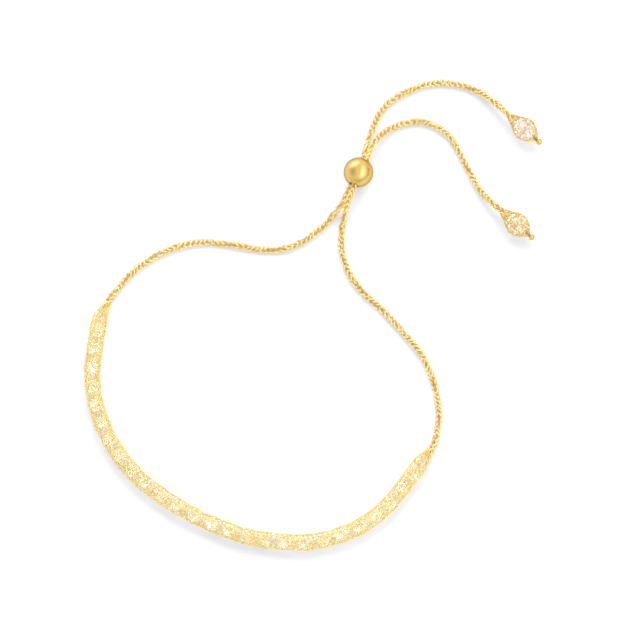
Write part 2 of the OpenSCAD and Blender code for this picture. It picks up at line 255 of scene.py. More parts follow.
class Nodes:
    """A new material's node tree, with short ways to add to it."""

    # Nearly all of a noise's values lie between these two
    NOISE_LOW: ClassVar[float] = 0.3
    NOISE_HIGH: ClassVar[float] = 0.7

    def __init__(self, name: str) -> None:
        """Starts a material that holds one Principled shader.

        Args:
            name: The material's name.
        """
        self.material = bpy.data.materials.new(name)
        self.material.use_nodes = True
        self.tree = self.material.node_tree
        self.shader = self.tree.nodes["Principled BSDF"]
        self.place = self.tree.nodes.new("ShaderNodeTexCoord").outputs["Object"]

    def set(self, **values: float | tuple[float, ...]) -> None:
        """Sets values on the shader's own sockets, named with _ for each space."""
        for key, value in values.items():
            self.shader.inputs[key.replace("_", " ")].default_value = value

    def link(self, output: bpy.types.NodeSocket, socket: str) -> None:
        """Links an output to one of the shader's sockets."""
        self.tree.links.new(output, self.shader.inputs[socket])

    def noise(self, grain: Grain) -> bpy.types.NodeSocket:
        """Noise in the piece's own place.

        Args:
            grain: Its size and its layers.

        Returns:
            Its value.
        """
        node = self.tree.nodes.new("ShaderNodeTexNoise")
        node.inputs["Scale"].default_value = grain.waves
        node.inputs["Detail"].default_value = grain.layers
        self.tree.links.new(self.place, node.inputs["Vector"])
        return node.outputs[0]

    def clouds(self, grain: Grain, low: Colour, high: Colour,
               fade: tuple[float, float]) -> bpy.types.NodeSocket:
        """Colour that goes from one to another in clouds.

        Args:
            grain: The noise that the clouds follow.
            low: Colour where the noise is low.
            high: Colour where it is high.
            fade: Values of the noise at which the change starts and ends.

        Returns:
            The colour.
        """
        node = self.tree.nodes.new("ShaderNodeValToRGB")
        for mark, place, colour in zip(node.color_ramp.elements, fade, (low, high)):
            mark.position = place
            mark.color = (*colour, 1)
        self.tree.links.new(self.noise(grain), node.inputs["Fac"])
        return node.outputs["Color"]

    def wear(self, grain: Grain, smooth: float, dull: float) -> None:
        """Gives the shader a roughness that changes from place to place.

        Args:
            grain: The noise that it follows.
            smooth: Roughness where the noise is low.
            dull: Roughness where it is high.
        """
        node = self.tree.nodes.new("ShaderNodeMapRange")
        for socket, number in zip(("From Min", "From Max", "To Min", "To Max"),
                                  (self.NOISE_LOW, self.NOISE_HIGH, smooth, dull)):
            node.inputs[socket].default_value = number
        self.tree.links.new(self.noise(grain), node.inputs["Value"])
        self.link(node.outputs["Result"], "Roughness")

    def held(self, name: str) -> bpy.types.NodeSocket:
        """Number that the mesh itself holds for each place on it.

        Args:
            name: The attribute's name.

        Returns:
            The number.
        """
        node = self.tree.nodes.new("ShaderNodeAttribute")
        node.attribute_name = name
        return node.outputs["Fac"]

    def blend(self, share: bpy.types.NodeSocket, first: bpy.types.NodeSocket,
              second: Colour) -> bpy.types.NodeSocket:
        """Colour that goes from an output's to a plain one.

        Args:
            share: How much of the second there is.
            first: The output.
            second: The plain colour.

        Returns:
            The colour.
        """
        node = self.tree.nodes.new("ShaderNodeMix")
        node.data_type = "RGBA"
        self.tree.links.new(share, node.inputs["Factor"])
        a, b = [socket for socket in node.inputs if socket.type == "RGBA"]
        self.tree.links.new(first, a)
        b.default_value = (*second, 1)
        return next(socket for socket in node.outputs if socket.type == "RGBA")

    def value(self, number: float) -> bpy.types.NodeSocket:
        """A plain number as an output.

        Args:
            number: The number.

        Returns:
            The output.
        """
        node = self.tree.nodes.new("ShaderNodeValue")
        node.outputs[0].default_value = number
        return node.outputs[0]

    def math(self, kind: str, *values: bpy.types.NodeSocket | float) -> bpy.types.NodeSocket:
        """Sum worked out from outputs and plain numbers.

        Args:
            kind: Blender's name of the sum.
            values: What it takes.

        Returns:
            Its result.
        """
        node = self.tree.nodes.new("ShaderNodeMath")
        node.operation = kind
        for socket, value in zip(node.inputs, values):
            if isinstance(value, bpy.types.NodeSocket):
                self.tree.links.new(value, socket)
            else:
                socket.default_value = value
        return node.outputs[0]

    def patch(self, middle: Vector, turn: Euler,
              size: tuple[float, float, float]) -> bpy.types.NodeSocket:
        """Soft round patch in the piece's own place.

        Args:
            middle: Its middle.
            turn: How it is turned.
            size: From its middle to its edge, each way.

        Returns:
            Its value, 1 in the middle and 0 at the edge.
        """
        spot = self.tree.nodes.new("ShaderNodeMapping")
        spot.vector_type = "TEXTURE"
        for socket, value in zip(("Location", "Rotation", "Scale"), (middle, turn, size)):
            spot.inputs[socket].default_value = value
        self.tree.links.new(self.place, spot.inputs["Vector"])
        fade = self.tree.nodes.new("ShaderNodeTexGradient")
        fade.gradient_type = "SPHERICAL"
        self.tree.links.new(spot.outputs[0], fade.inputs[0])
        soft = self.tree.nodes.new("ShaderNodeMapRange")
        soft.interpolation_type = "SMOOTHSTEP"
        self.tree.links.new(fade.outputs["Fac"], soft.inputs["Value"])
        return soft.outputs["Result"]

    def bump(self, grain: Grain, depth: float) -> None:
        """Gives the shader a fine relief.

        Args:
            grain: The noise that it follows.
            depth: Its depth.
        """
        node = self.tree.nodes.new("ShaderNodeBump")
        node.inputs["Distance"].default_value = depth
        self.tree.links.new(self.noise(grain), node.inputs["Height"])
        self.link(node.outputs["Normal"], "Normal")


@dataclass(frozen=True)
class KnittedGold:
    """Bright drawn gold wire, deeper in places, with painted shade where it dips inside the knit.

    Attributes:
        name: The material's name.
        bright: Its main colour.
        deep: Its colour in the deeper places.
        painted_shade_colour: Colour of the painted shade where the wire dips inside the knit.
        fade: Values of the clouds' noise between which deep turns to bright.
        smooth: Roughness where it is smoothest.
        dull: Roughness where it is dullest.
        clouds: Noise that bright and deep follow.
        patches: Noise that smooth and dull follow.
        marks: Noise of the drawing marks on the wire.
        mark_depth: Depth of the marks.
    """

    name: str = "knitted_gold_wire"
    bright: Colour = (1.0, 0.84, 0.35)
    deep: Colour = (1.0, 0.75, 0.21)
    painted_shade_colour: Colour = (0.66, 0.42, 0.11)
    fade: tuple[float, float] = (0.35, 0.6)
    smooth: float = 0.12
    dull: float = 0.26
    clouds: Grain = Grain(900, 3)
    patches: Grain = Grain(2600)
    marks: Grain = Grain(14000, 1)
    mark_depth: float = 0.006 * MM

    def material(self) -> bpy.types.Material:
        """Makes the material.

        Returns:
            The material.
        """
        nodes = Nodes(self.name)
        nodes.set(Metallic=1.0)
        gold = nodes.clouds(self.clouds, self.deep, self.bright, self.fade)
        # Painted shade: the colour goes towards the shade colour by the share that the mesh holds
        nodes.link(nodes.blend(nodes.held(WireWork.PAINTED_SHADE), gold, self.painted_shade_colour), "Base Color")
        nodes.wear(self.patches, self.smooth, self.dull)
        nodes.bump(self.marks, self.mark_depth)
        return nodes.material


@dataclass(frozen=True)
class PolishedGold:
    """Polished gold with the faint clouding and hairlines of handling.

    Attributes:
        bright: Its main colour.
        deep: Its colour in the deeper places.
        edge: Tint of what it mirrors at a slant, which keeps its outline from going white.
        fade: Values of the clouds' noise between which deep turns to bright.
        smooth: Roughness where it is smoothest.
        dull: Roughness where it is dullest.
        clouds: Noise that bright and deep follow.
        patches: Noise that smooth and dull follow.
        marks: Noise of the hairlines.
        mark_depth: Depth of the hairlines.
    """

    bright: Colour = (0.76, 0.54, 0.205)
    deep: Colour = (0.69, 0.475, 0.15)
    edge: Colour = (0.55, 0.42, 0.22)
    fade: tuple[float, float] = (0.35, 0.65)
    smooth: float = 0.1
    dull: float = 0.18
    clouds: Grain = Grain(320)
    patches: Grain = Grain(1500, 3)
    marks: Grain = Grain(5000)
    mark_depth: float = 0.002 * MM

    def material(self) -> bpy.types.Material:
        """Makes the material.

        Returns:
            The material.
        """
        nodes = Nodes("polished_gold")
        nodes.set(Metallic=1.0, Specular_Tint=(*self.edge, 1.0))
        nodes.link(nodes.clouds(self.clouds, self.deep, self.bright, self.fade), "Base Color")
        nodes.wear(self.patches, self.smooth, self.dull)
        nodes.bump(self.marks, self.mark_depth)
        return nodes.material


@dataclass(frozen=True)
class ClearStone:
    """Clear cut stone, with clouds of painted colour that stand for light seen in it: reflected
    gold, and fire.

    Attributes:
        name: The material's name.
        pale: Its colour where it is palest.
        painted_tint: Its painted colour in the clouds.
        fade: Values of the clouds' noise between which pale turns to tinted.
        bending: How strongly it bends light.
        clear: How much of the light goes through it.
        clouds: Noise that its colours follow.
    """

    name: str = "clear_small_stone"
    pale: Colour = (1.0, 1.0, 1.0)
    painted_tint: Colour = (0.97, 0.96, 0.99)
    fade: tuple[float, float] = (0.4, 0.62)
    bending: float = 1.75
    clear: float = 0.92
    clouds: Grain = Grain(700, 1)

    def material(self) -> bpy.types.Material:
        """Makes the material.

        Returns:
            The material.
        """
        nodes = Nodes(self.name)
        nodes.set(Roughness=0.0, IOR=self.bending, Transmission_Weight=self.clear)
        nodes.link(nodes.clouds(self.clouds, self.pale, self.painted_tint, self.fade), "Base Color")
        return nodes.material


@dataclass(frozen=True)
class GripRubber:
    """Dark elastic with a dusty bloom.

    Attributes:
        dark: Its own colour.
        bloom: Its colour under the dust.
        fade: Values of the dust's noise between which dark turns to bloom.
        dust: Noise that the dust follows.
        dust_depth: Depth of its relief.
    """

    dark: Colour = (0.02, 0.017, 0.014)
    bloom: Colour = (0.05, 0.045, 0.04)
    fade: tuple[float, float] = (0.4, 0.7)
    dust: Grain = Grain(4000, 3)
    dust_depth: float = 0.01 * MM

    def material(self) -> bpy.types.Material:
        """Makes the material.

        Returns:
            The material.
        """
        nodes = Nodes("grip_rubber")
        nodes.set(Roughness=0.7)
        nodes.link(nodes.clouds(self.dust, self.dark, self.bloom, self.fade), "Base Color")
        nodes.bump(self.dust, self.dust_depth)
        return nodes.material


@dataclass(frozen=True)
class PaleFloor:
    """Matt white board with the faintest mottle.

    Attributes:
        white: Its main colour.
        shade: Its colour in the mottle.
        fade: Values of the mottle's noise between which shade turns to white.
        mottle: Noise that the mottle follows.
    """

    white: Colour = (0.86, 0.86, 0.86)
    shade: Colour = (0.845, 0.845, 0.85)
    fade: tuple[float, float] = (0.4, 0.6)
    mottle: Grain = Grain(30)

    def material(self) -> bpy.types.Material:
        """Makes the material.

        Returns:
            The material.
        """
        nodes = Nodes("pale_floor")
        nodes.set(Roughness=0.95, Specular_IOR_Level=0.1)
        nodes.link(nodes.clouds(self.mottle, self.shade, self.white, self.fade), "Base Color")
        return nodes.material


# ---- Wire work ------------------------------------------------------------------------------


class WireWork:
    """Rings of wire, gathered into one mesh that holds each place's share of painted shade."""

    # Name under which the mesh holds the share of painted shade
    PAINTED_SHADE: ClassVar[str] = "painted_shade"

    def __init__(self, name: str, wire_d: float, sides: int = 4) -> None:
        """Starts the work.

        Args:
            name: Name of the piece.
            wire_d: Diameter of the wire.
            sides: Sides of its section, an even number.
        """
        self.name = name
        self.curve = bpy.data.curves.new(name, "CURVE")
        self.curve.dimensions = "3D"
        self.curve.bevel_depth = wire_d / 2
        # A curve's section has 4 sides, and 2 more for each step of its resolution
        self.curve.bevel_resolution = (sides - 4) // 2
        self.painted_shade: list[float] = []

    def ring(self, points: Sequence[Vector], closed: bool = True) -> None:
        """Adds one wire through the points, held up by the floor where it would dip below.

        Args:
            points: The wire's middle line. The fourth number is its share of painted shade, 0 to
                1.
            closed: Whether it joins up with itself.
        """
        rest = self.curve.bevel_depth
        self.painted_shade += [point.w for point in points]
        spline = self.curve.splines.new("POLY")
        spline.points.add(len(points) - 1)
        spline.points.foreach_set(
            "co", [n for p in points for n in (p.x, p.y, max(p.z, rest), 1.0)])
        spline.use_cyclic_u = closed

    def piece(self) -> bpy.types.Object:
        """Turns the wires into a mesh object.

        Returns:
            The object, at the origin.
        """
        holder = bpy.data.objects.new(self.name + "_wires", self.curve)
        bpy.context.scene.collection.objects.link(holder)
        bpy.context.view_layer.update()
        graph = bpy.context.evaluated_depsgraph_get()
        mesh = bpy.data.meshes.new_from_object(holder.evaluated_get(graph))
        bpy.data.objects.remove(holder)
        bpy.data.curves.remove(self.curve)
        mesh.name = self.name
        # The mesh has the wires in order, and a ring of corners round each of their points
        around = len(mesh.vertices) // len(self.painted_shade)
        mesh.attributes.new(self.PAINTED_SHADE, "FLOAT", "POINT").data.foreach_set(
            "value", [painted_shade for painted_shade in self.painted_shade for _ in range(around)])
        shape = bmesh.new()
        shape.from_mesh(mesh)
        # Closes the ends of the wires that don't join up with themselves
        bmesh.ops.holes_fill(shape, edges=[e for e in shape.edges if e.is_boundary])
        shape.to_mesh(mesh)
        shape.free()
        mesh.polygons.foreach_set("use_smooth", [True] * len(mesh.polygons))
        piece = bpy.data.objects.new(self.name, mesh)
        bpy.context.scene.collection.objects.link(piece)
        return piece


@dataclass(frozen=True)
class Knit:
    """Plain knitting in the round: each course is a ring of loops, drawn through the last.

    Attributes:
        wales: Loops in each course.
        course: Length along the tube from one course to the next.
        loop: Length of a loop along the tube, longer than a course.
        wire_d: Diameter of the wire.
        weave: How far the wire goes in and out of the tube's middle radius.
        overhang: How far a loop widens past its neck, as a share of a wale.
        twist: Turns of the wales round the tube, to a metre.
        wander: Unevenness of the loops, as a share of a wale.
        parting: How far the wires are pushed aside from the top and the bottom, in radians.
        painted_shade: Share of painted shade where the wire dips inside the knit, 0 to 1.
        strands: Wires that run side by side in each course.
        spacing: From one of them to the next, in the tube's wall.
        steps: Straight steps of wire in a loop.
        sides: Sides of the wire's section.
    """

    wales: int
    course: float
    loop: float
    wire_d: float
    weave: float
    overhang: float
    twist: float = 0.0
    wander: float = 0.12
    parting: float = 0.0
    painted_shade: float = 0.1
    strands: int = 1
    spacing: float = 0.0
    steps: int = 10
    sides: int = 4

    # How fast the unevenness changes from wale to wale and from course to course, and what
    # shifts it from knit to knit
    STRAY_PACE: ClassVar[tuple[float, ...]] = (0.83, 0.61, 1.7)
    DRIFT_PACE: ClassVar[tuple[float, ...]] = (0.9, 0.37, 5000)
    # How much of it moves a whole loop aside, and changes how deep the wire goes
    STRAY_SHARE: ClassVar[float] = 0.5
    DEPTH_SHARE: ClassVar[float] = 0.3

    def ring(self, line: Line, middle: float, radius: Callable[[float], float],
             row: int, inset: float = 0.0) -> list[Vector]:
        """One course of loops round a line.

        Args:
            line: Middle line of the tube.
            middle: Length along it of the course's middle.
            radius: The tube's middle radius at a length along it.
            row: The course's number, which sets its unevenness.
            inset: How far the wire keeps inside the loop's own line.

        Returns:
            The wire's points.
        """
        points = []
        stray_x, stray_y, stray_z = self.STRAY_PACE
        drift_x, drift_y, drift_z = self.DRIFT_PACE
        for wale in range(self.wales):
            stray = noise.noise_vector(
                Vector((wale * stray_x, row * stray_y, self.wales * stray_z)))
            for step in range(self.steps):
                t = FULL_TURN * step / self.steps
                drift = noise.noise_vector(Vector((
                    (wale + step / self.steps) * drift_x, row * drift_y, self.course * drift_z)))
                # In a wale the wire goes once along the tube and back, and twice out and in
                turn = (wale + step / self.steps + self.overhang * math.sin(2 * t)
                        + self.wander * (drift.x + self.STRAY_SHARE * stray.x)) / self.wales
                s = middle - self.loop / 2 * math.cos(t) + self.course * self.wander * drift.y
                stand = line.stand(s)
                r = radius(s) - self.weave * math.cos(2 * t) * (1 + self.DEPTH_SHARE * drift.z)
                turn += inset * math.sin(t) / (FULL_TURN * r)
                s += inset * math.cos(t)
                angle = FULL_TURN * (turn + self.twist * s)
                place = stand.round(r, angle - self.parting * math.sin(2 * angle))
                # Painted shade where the wire dips inside, at the heads and feet of the loops
                points.append(Vector((*place, self.painted_shade * (0.5 + 0.5 * math.cos(2 * t)))))
        return points

    def tube(self, work: WireWork, line: Line, start: float, end: float,
             radius: Callable[[float], float]) -> int:
        """Knits a tube round a stretch of a line.

        Args:
            work: Takes the wires.
            line: Middle line of the tube.
            start: Length along the line at which the knitting starts.
            end: Length at which it ends.
            radius: The tube's middle radius at a length along it.

        Returns:
            The number of courses.
        """
        first, last = start + self.loop / 2, end - self.loop / 2
        courses = max(round((last - first) / self.course), 1)
        for row in range(courses + 1):
            middle = mix(first, last, row / courses)
            for strand in range(self.strands):
                inset = (strand - (self.strands - 1) / 2) * self.spacing
                work.ring(self.ring(line, middle, radius, row, inset))
        return courses + 1


def dress(piece: bpy.types.Object, finish: bpy.types.Material, slot: Slot,
          *nodes: str) -> bpy.types.Object:
    """Gives a piece its finish and its place in the frame.

    Args:
        piece: The finished piece.
        finish: Its material.
        slot: The record's slot that the finish stands for.
        nodes: The CAD nodes that the piece stands for.

    Returns:
        The same piece.
    """
    piece.data.materials.clear()
    piece.data.materials.append(finish)
    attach(piece, "root")
    if nodes:
        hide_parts(*nodes)
    # The floor takes no soft tint or shade from gold and stone
    piece.visible_diffuse = slot is Slot.RUBBER
    log.info("%s: %d faces", piece.name, len(piece.data.polygons))
    return piece


def piece_from(name: str, shape: bmesh.types.BMesh, smooth: bool) -> bpy.types.Object:
    """Turns a bmesh into an object at the origin.

    Args:
        name: Name of the piece.
        shape: The bmesh, which is freed.
        smooth: Whether its faces are shaded smooth.

    Returns:
        The object.
    """
    mesh = bpy.data.meshes.new(name)
    bmesh.ops.recalc_face_normals(shape, faces=shape.faces)
    shape.to_mesh(mesh)
    shape.free()
    mesh.polygons.foreach_set("use_smooth", [smooth] * len(mesh.polygons))
    piece = bpy.data.objects.new(name, mesh)
    bpy.context.scene.collection.objects.link(piece)
    return piece


# ---- Stones ---------------------------------------------------------------------------------


def set_clear(stones: bpy.types.Object, finish: bpy.types.Material,
              *nodes: str) -> bpy.types.Object:
    """Dresses clear stones, which let the light through to the wire and the floor.

    Args:
        stones: The stones.
        finish: Their material.
        nodes: The CAD nodes that they stand for.

    Returns:
        The same stones.
    """
    stones.visible_shadow = False
    return dress(stones, finish, Slot.STONE, *nodes)


@dataclass(frozen=True)
class Brilliant:
    """A round brilliant: table, eight kites, eight stars and the girdle's small facets.

    Attributes:
        width: Diameter at the girdle.
        table: Width of the table, as a share of it.
        crown: Height from the girdle to the table, as a share of it.
        pavilion: Depth from the girdle to the point below, as a share of it.
        girdle: Height of the girdle, as a share of it.
        star: Where the stars end, as a share of the way from the middle to the girdle.
        lower: Where the lower kites start, as a share of the same way.
        flat: Angle up to which neighbours are one facet, in degrees.
    """

    width: float
    table: float = 0.58
    crown: float = 0.16
    pavilion: float = 0.42
    girdle: float = 0.04
    star: float = 0.8
    lower: float = 0.3
    flat: float = 1.5

    def cut(self, shape: bmesh.types.BMesh, place: Matrix) -> None:
        """Adds the stone to a shape.

        Args:
            shape: Takes the stone.
            place: The stone's place, with its girdle on the plane z = 0 and its table up.
        """
        r = self.width / 2
        top = self.girdle * r
        table_z = top + self.crown * self.width
        culet_z = -top - self.pavilion * self.width
        table_r, star_r, low_r = self.table * r, self.star * r, self.lower * r
        eighth = math.cos(math.pi / 8)
        star_z = table_z - (star_r * eighth - table_r) * (table_z - top) / (r - table_r)
        low_z = culet_z + low_r * eighth * (-top - culet_z) / r
        stone: list[bmesh.types.BMVert] = []
        # Of each ring: its corners, its radius, its height, and how far it is turned, in corners
        rings = ((8, table_r, table_z, 0.0), (8, star_r, star_z, 0.5), (16, r, top, 0.0),
                 (16, r, -top, 0.0), (8, low_r, low_z, 0.5))
        for count, radius, z, shift in rings:
            turn = Matrix.Rotation(shift * FULL_TURN / count, 4, "Z")
            made = bmesh.ops.create_circle(
                shape, segments=count, radius=radius,
                matrix=place @ Matrix.Translation((0, 0, z)) @ turn)
            stone += made["verts"]
        stone += bmesh.ops.create_vert(shape, co=place @ Vector((0, 0, culet_z)))["vert"]
        hull = bmesh.ops.convex_hull(shape, input=stone)
        faces = [g for g in hull["geom"] if isinstance(g, bmesh.types.BMFace)]
        edges = list(dict.fromkeys(e for f in faces for e in f.edges))
        bmesh.ops.dissolve_limit(
            shape, angle_limit=math.radians(self.flat), verts=stone, edges=edges)


@dataclass(frozen=True)
class StoneRow:
    """The row of round clear stones inside the sleeve.

    Attributes:
        width: Diameter of a stone.
        turn: Degrees that each is turned past the last.
        leans: Degrees that they lean about X and about Y, over and over.
    """

    width: float = 2.2 * MM
    turn: float = 11.0
    leans: Route = ((12, -8), (-16, 6), (6, 18), (-8, -14), (18, 4), (-4, 10), (10, -18))

    def build(self, sleeve: "KnittedSleeve", finish: bpy.types.Material) -> None:
        """Cuts the stones along the sleeve's line.

        Args:
            sleeve: The sleeve that holds them.
            finish: Their material.
        """
        shape = bmesh.new()
        for k in range(sleeve.stones):
            s = sleeve.body_start + (k + 0.5) * sleeve.pitch
            lean = self.leans[k % len(self.leans)]
            place = placed(sleeve.line.at(s).xyz, self.turn * k, lean)
            Brilliant(self.width).cut(shape, place)
        names = [f"sleeve_stone_{k + 1:02d}" for k in range(sleeve.stones)]
        set_clear(piece_from("stones_in_sleeve", shape, False), finish, *names)


# ---- Sleeve and cords -----------------------------------------------------------------------


@dataclass
class KnittedSleeve:
    """The knitted tube spread wide over its row of stones.

    Attributes:
        radius: Outer radius of the knit over a stone.
        middle_z: Height of its middle line where it is wide.
        neck_radius: Middle radius of the knit at each neck.
        neck_z: Height of its middle line at each neck.
        neck: Length of each neck.
        flare: Where it starts to widen, as a share of the neck.
        taper: Length over which it widens.
        dip: How far the knit draws in between two stones.
        stones: Stones in the row.
        knit: How it is knitted.
        line: Its middle line.
    """

    radius: float = 1.45 * MM
    middle_z: float = 1.454 * MM
    neck_radius: float = 0.56 * MM
    neck_z: float = 0.743 * MM
    neck: float = 0.8 * MM
    flare: float = 0.6
    taper: float = 3 * MM
    dip: float = 0.08 * MM
    stones: int = 26
    knit: Knit = Knit(
        wales=8, course=0.9 * MM, loop=1.5 * MM, wire_d=0.12 * MM, weave=0.09 * MM,
        overhang=0.34, twist=9.0, wander=0.6, painted_shade=0.15)
    line: Line = field(init=False)

    def __post_init__(self) -> None:
        """Lays the middle line, low at the necks."""
        flat = Line([Vector((x, y, 0)) * MM for x, y in SLEEVE_ROUTE])
        length = flat.length
        risen = []
        for point, gone in zip(flat.points, flat.gone):
            z = mix(self.neck_z, self.middle_z, self.widened(gone, length))
            risen.append(Vector((point.x, point.y, z)))
        self.line = Line(risen, steps=1)
        self.line.gone = flat.gone

    @property
    def body_start(self) -> float:
        """Length along the line at which the row of stones starts."""
        return self.neck + self.taper

    @property
    def pitch(self) -> float:
        """Length from one stone to the next."""
        return (self.line.length - 2 * self.body_start) / self.stones

    def widened(self, s: float, length: float) -> float:
        """Share of the full width, at a place on a line of a length."""
        return share_between(min(s, length - s), self.neck * self.flare, self.body_start)

    def radius_at(self, s: float) -> float:
        """Middle radius of the knit, which draws in between two stones.

        Args:
            s: Length along the line.

        Returns:
            The radius.
        """
        share = self.widened(s, self.line.length)
        waist = math.cos(FULL_TURN * (s - self.body_start) / self.pitch)
        edge = self.knit.weave + self.knit.wire_d / 2
        full = self.radius - edge - self.dip * (0.5 + 0.5 * waist)
        return mix(self.neck_radius, full, share)

    def build(self, finish: bpy.types.Material) -> None:
        """Knits the sleeve.

        Args:
            finish: Its material.
        """
        work = WireWork("knitted_sleeve", self.knit.wire_d, self.knit.sides)
        courses = self.knit.tube(work, self.line, 0.0, self.line.length, self.radius_at)
        log.info("sleeve: %d courses", courses)
        dress(work.piece(), finish, Slot.KNIT, "sleeve")


@dataclass(frozen=True)
class BallSlider:
    """The polished ball on the two cords, with the elastic that grips them.

    Attributes:
        width: Diameter of the ball.
        bore: Radius of its bore.
        place: The ball's middle, over the floor.
        turn: The way that the bore points, in degrees from X.
        pitch: From the middle of one cord to the middle of the other, in the bore.
        lean: How far the two lie one over the other, in degrees from side by side.
        squeezed: Radius of a cord in the bore.
        run: How far a cord is straight, to each side of the ball's middle.
        lip: Width of the rounded edge at each mouth.
        lip_steps: Rows of faces in the lip.
        meridians: Faces round the ball.
        parallels: Faces from one pole to the other.
    """

    width: float = 5 * MM
    bore: float = 0.95 * MM
    place: tuple[float, float] = (7.8 * MM, 24 * MM)
    turn: float = 66.5
    pitch: float = 1.0 * MM
    lean: float = 40.0
    squeezed: float = 0.4 * MM
    run: float = 2.55 * MM
    lip: float = 0.1 * MM
    lip_steps: int = 4
    meridians: int = 128
    parallels: int = 96

    def in_bore(self, side: Side, s: float) -> Vector:
        """Middle of a cord in the bore.

        Args:
            side: Which of the two cords.
            s: Length along the bore from the ball's middle, towards the cages.

        Returns:
            The point.
        """
        way, lean = towards(self.turn, 0), math.radians(self.lean)
        aside = math.cos(lean) * Vector((way.y, -way.x, 0)) + math.sin(lean) * Vector((0, 0, 1))
        middle = Vector((*self.place, self.width / 2))
        return middle + s * way + side.value * self.pitch / 2 * aside

    def build(self, gold: bpy.types.Material, rubber: bpy.types.Material) -> None:
        """Turns the ball and dresses the grip.

        Args:
            gold: The ball's material.
            rubber: The grip's material.
        """
        r = self.width / 2
        mouth = math.sqrt(r * r - self.bore * self.bore)
        shape = bmesh.new()
        bmesh.ops.create_uvsphere(
            shape, u_segments=self.meridians, v_segments=self.parallels, radius=r)
        for way in (1, -1):
            bmesh.ops.bisect_plane(
                shape, geom=shape.verts[:] + shape.edges[:] + shape.faces[:],
                plane_co=(0, 0, way * mouth), plane_no=(0, 0, way), clear_outer=True)
        rims = [e for e in shape.edges if e.is_boundary]
        bmesh.ops.bridge_loops(shape, edges=rims)
        bmesh.ops.bevel(shape, geom=rims, offset=self.lip, segments=self.lip_steps,
                        profile=0.5, affect="EDGES", material=-1, offset_type="OFFSET")
        place = placed((*self.place, r), self.turn, LAID)
        bmesh.ops.transform(shape, matrix=place, verts=shape.verts)
        ball = dress(piece_from("polished_ball", shape, True), gold, Slot.POLISHED, "slider_ball")
        # Hardly any shadow is seen beside the real one: the cords and the grip cast what there is
        ball.visible_shadow = False
        dress(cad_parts["slider_grip"], rubber, Slot.RUBBER)


